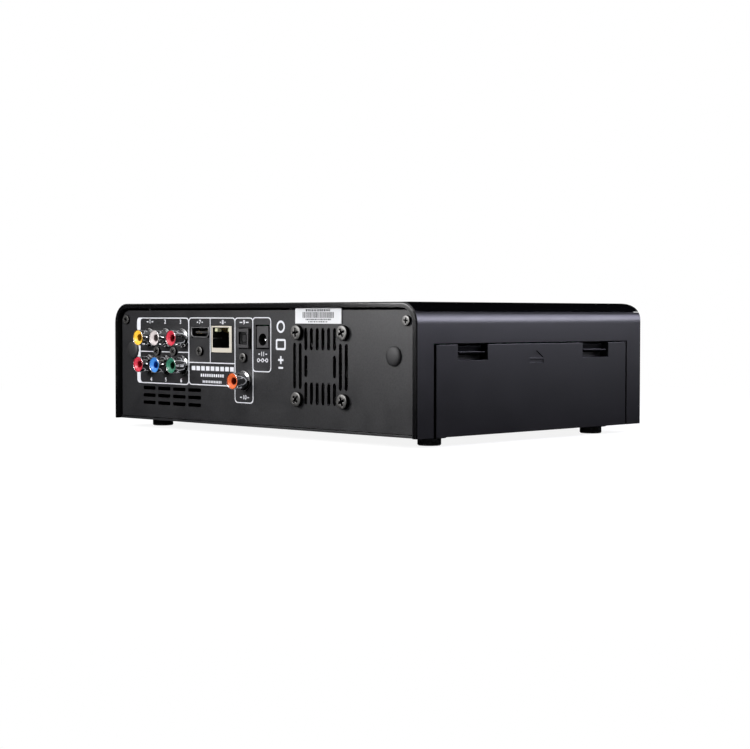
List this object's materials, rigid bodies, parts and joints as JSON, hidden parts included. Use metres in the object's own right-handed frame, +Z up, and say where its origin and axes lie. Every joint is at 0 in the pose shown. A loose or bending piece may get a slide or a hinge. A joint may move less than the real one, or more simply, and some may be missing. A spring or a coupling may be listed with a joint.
{
  "type": "media player with hard drive tray",
  "caption": "Low rectangular media player with rounded top edges, rear sockets and fan, and a latched tray that slides out of its side with a hard drive.",
  "frame": {"origin": "on the surface it stands on, under the middle of the bounding box", "axes": "+X to the right seen from the front, -Y towards the front, +Y towards the rear sockets, +Z up; the drive tray leaves towards -X"},
  "size_m": [0.2266, 0.1704, 0.0658],
  "materials": {
    "satin_plastic": "satin, dark blue-grey, very fine mould texture",
    "gloss_plastic": "polished piano black",
    "painted_steel": "dark grey fine-textured paint on sheet steel",
    "foot_rubber": "matte black",
    "black_plastic": "satin black moulding",
    "plated_metal": "bright nickel plate",
    "screw_steel": "black nickel",
    "stamped_steel": "stamped sheet",
    "tinned_shield": "warm tinned sheet",
    "cast_alloy": "cast, bead-blasted",
    "circuit_board": "green solder resist",
    "label_film": "white printed film",
    "smoked_window": "dark red infrared window",
    "cable_sheath": "matte insulation",
    "yellow_plastic": "yellow insulator",
    "white_plastic": "white insulator",
    "red_plastic": "red insulator",
    "blue_plastic": "blue insulator",
    "green_plastic": "green insulator",
    "orange_plastic": "orange insulator"
  },
  "bodies": {
    "case": {"hood": "satin_plastic", "top_cover": "gloss_plastic", "base_plate": "painted_steel", "rear_panel": "painted_steel", "front_fascia": "gloss_plastic", "ir_window": "smoked_window", "foot_tray_front": "foot_rubber", "foot_tray_rear": "foot_rubber", "foot_side_front": "foot_rubber", "foot_side_rear": "foot_rubber", "corner_screw_tray_side": "screw_steel", "corner_screw_socket_side": "screw_steel", "socket_screw_rca_outer": "screw_steel", "socket_screw_rca_inner": "screw_steel", "socket_screw_hdmi": "screw_steel", "socket_screw_optical": "screw_steel", "fan_screw_upper_outer": "screw_steel", "fan_screw_upper_inner": "screw_steel", "fan_screw_lower_outer": "screw_steel", "fan_screw_lower_inner": "screw_steel", "hole_plug_tray_side": "black_plastic", "hole_plug_socket_side": "black_plastic", "rear_label": "label_film", "rca_block": "black_plastic", "rca_shield": "plated_metal", "rca_sleeve_video": "yellow_plastic", "rca_sleeve_left_audio": "white_plastic", "rca_sleeve_right_audio": "red_plastic", "rca_sleeve_component_red": "red_plastic", "rca_sleeve_component_blue": "blue_plastic", "rca_sleeve_component_green": "green_plastic", "digital_audio_block": "black_plastic", "coax_barrel": "plated_metal", "coax_sleeve": "orange_plastic", "hdmi_shell": "stamped_steel", "hdmi_tongue": "black_plastic", "lan_shield": "tinned_shield", "lan_insert": "black_plastic", "dc_inlet": "black_plastic", "fan_frame": "black_plastic", "fan_cable": "cable_sheath", "main_board": "circuit_board", "processor": "black_plastic", "heat_sink": "cast_alloy", "drive_backplane": "circuit_board", "guide_rail_front": "stamped_steel", "guide_rail_rear": "stamped_steel", "front_board": "circuit_board", "usb_sockets": "stamped_steel"},
    "hdd_tray": {"tray_front": "satin_plastic", "tray_carrier": "satin_plastic", "drive_housing": "cast_alloy", "drive_cover": "stamped_steel", "drive_board": "circuit_board"},
    "latch_front": {"latch_front": "black_plastic"},
    "latch_rear": {"latch_rear": "black_plastic"},
    "power_button": {"power_button": "gloss_plastic"},
    "fan_rotor": {"fan_rotor": "black_plastic"},
    "optical_shutter": {"optical_shutter": "black_plastic"}
  },
  "joints": [
    {"name": "tray_slide", "type": "slide", "parent": "case", "child": "hdd_tray", "axis": [-1, 0, 0], "range_m": [0, 0.15]},
    {"name": "latch_front_press", "type": "slide", "parent": "hdd_tray", "child": "latch_front", "axis": [0, 0, -1], "range_m": [0, 0.002], "stiffness_N_per_m": 800},
    {"name": "latch_rear_press", "type": "slide", "parent": "hdd_tray", "child": "latch_rear", "axis": [0, 0, -1], "range_m": [0, 0.002], "stiffness_N_per_m": 800},
    {"name": "power_button_press", "type": "slide", "parent": "case", "child": "power_button", "axis": [0, 1, 0], "range_m": [0, 0.0008], "stiffness_N_per_m": 900},
    {"name": "fan_spin", "type": "hinge", "parent": "case", "child": "fan_rotor", "pos_m": [-0.0481, 0.07, 0.0354], "axis": [0, 1, 0], "continuous": true},
    {"name": "optical_shutter_swing", "type": "hinge", "parent": "case", "child": "optical_shutter", "pos_m": [0.0074, 0.07755, 0.05075], "axis": [-1, 0, 0], "range_deg": [0, 80], "stiffness_Nm_per_rad": 0.0002}
  ]
}
